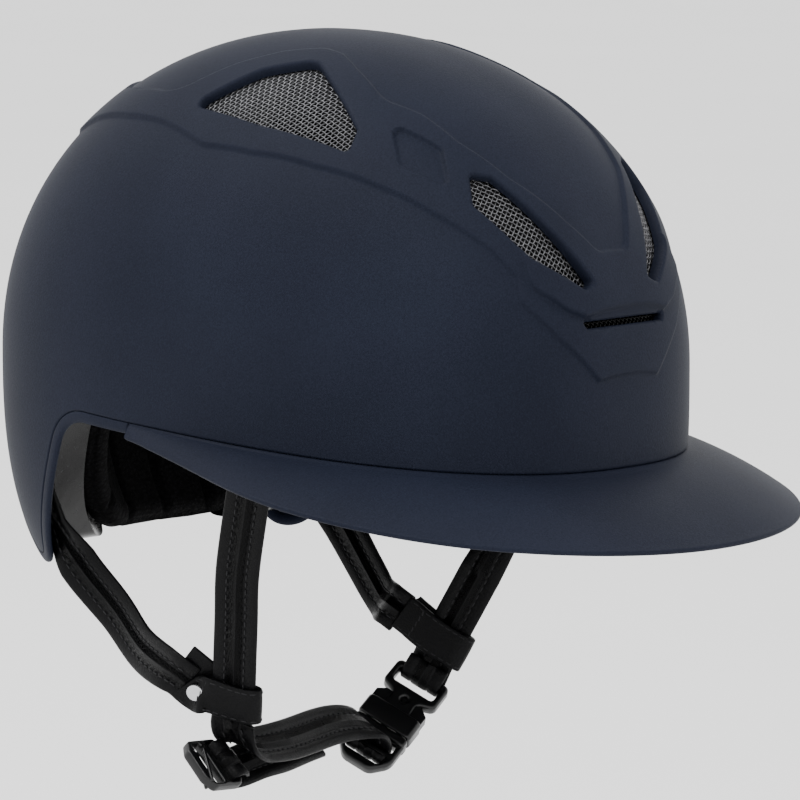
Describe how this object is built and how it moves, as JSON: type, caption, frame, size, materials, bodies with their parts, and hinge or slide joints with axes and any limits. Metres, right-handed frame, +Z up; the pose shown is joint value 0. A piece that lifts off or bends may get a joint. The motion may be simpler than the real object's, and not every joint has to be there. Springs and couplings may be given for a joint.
{
  "type": "equestrian riding helmet",
  "caption": "Vented riding helmet with a wide peak, woven mesh vents, padded foam liner and a leather chin harness with a side-release buckle.",
  "frame": {"origin": "middle of the head opening, where the wearer's head enters", "axes": "+Z up, the peak points to -Y, the wearer's right is -X"},
  "size_m": [0.2544, 0.3363, 0.3071],
  "materials": {
    "shell": "soft-touch matte navy with a fine sparkle",
    "peak": "soft-touch matte navy",
    "foam": "dark moulded foam",
    "gloss_cover": "gloss black",
    "wire_mesh": "woven wire",
    "hook_and_loop": "hook and loop",
    "padding": "black towelling",
    "rivet_steel": "polished",
    "buckle_plastic": "satin black",
    "strap_leather": "black with stitching"
  },
  "bodies": {
    "helmet": {"outer_shell": "shell", "impact_liner": "foam", "front_liner_cover": "gloss_cover", "rear_liner_cover": "gloss_cover", "rear_vent_mesh_right": "wire_mesh", "rear_vent_mesh_left": "wire_mesh", "front_vent_mesh_right": "wire_mesh", "front_vent_mesh_left": "wire_mesh", "brow_vent_mesh": "wire_mesh", "peak": "peak", "rear_edge_trim": "peak", "headband_pad": "padding", "neck_pad": "padding", "crown_pad": "padding", "side_pad_right": "padding", "side_pad_left": "padding", "pad_fastener_dots": "hook_and_loop", "right_front_strap": "strap_leather", "left_front_strap": "strap_leather", "right_rear_strap": "strap_leather", "left_rear_strap": "strap_leather", "strap_anchor_rivets": "rivet_steel", "chin_strap": "strap_leather", "chin_strap_tail": "strap_leather", "strap_adjuster": "buckle_plastic", "buckle_socket": "buckle_plastic"},
    "right_yoke": {"right_yoke_loop": "strap_leather", "right_yoke_rivet": "rivet_steel"},
    "left_yoke": {"left_yoke_loop": "strap_leather"},
    "plug": {"buckle_plug": "buckle_plastic"},
    "prong_rear": {"buckle_prong_rear": "buckle_plastic"},
    "prong_front": {"buckle_prong_front": "buckle_plastic"}
  },
  "joints": [
    {"name": "buckle_release", "type": "slide", "parent": "helmet", "child": "plug", "axis": [-0.7905, 0.05, -0.6104], "range_m": [0, 0.028], "deforming": ["buckle_prong_rear", "buckle_prong_front", "chin_strap"]},
    {"name": "prong_rear_squeeze", "type": "hinge", "parent": "plug", "child": "prong_rear", "pos_m": [0.038, 0.01703, -0.12593], "axis": [0.5259, 0.5662, -0.6347], "range_deg": [0, 12], "stiffness_Nm_per_rad": 0.02},
    {"name": "prong_front_squeeze", "type": "hinge", "parent": "plug", "child": "prong_front", "pos_m": [0.04252, 0.00519, -0.13275], "axis": [-0.5259, -0.5662, 0.6347], "range_deg": [0, 12], "stiffness_Nm_per_rad": 0.02},
    {"name": "right_yoke_slide", "type": "slide", "parent": "helmet", "child": "right_yoke", "axis": [-0.2353, -0.2431, 0.941], "range_m": [0, 0.015], "deforming": ["right_rear_strap"]},
    {"name": "left_yoke_slide", "type": "slide", "parent": "helmet", "child": "left_yoke", "axis": [0.2443, -0.4071, 0.8801], "range_m": [0, 0.012], "deforming": ["left_rear_strap"]}
  ]
}
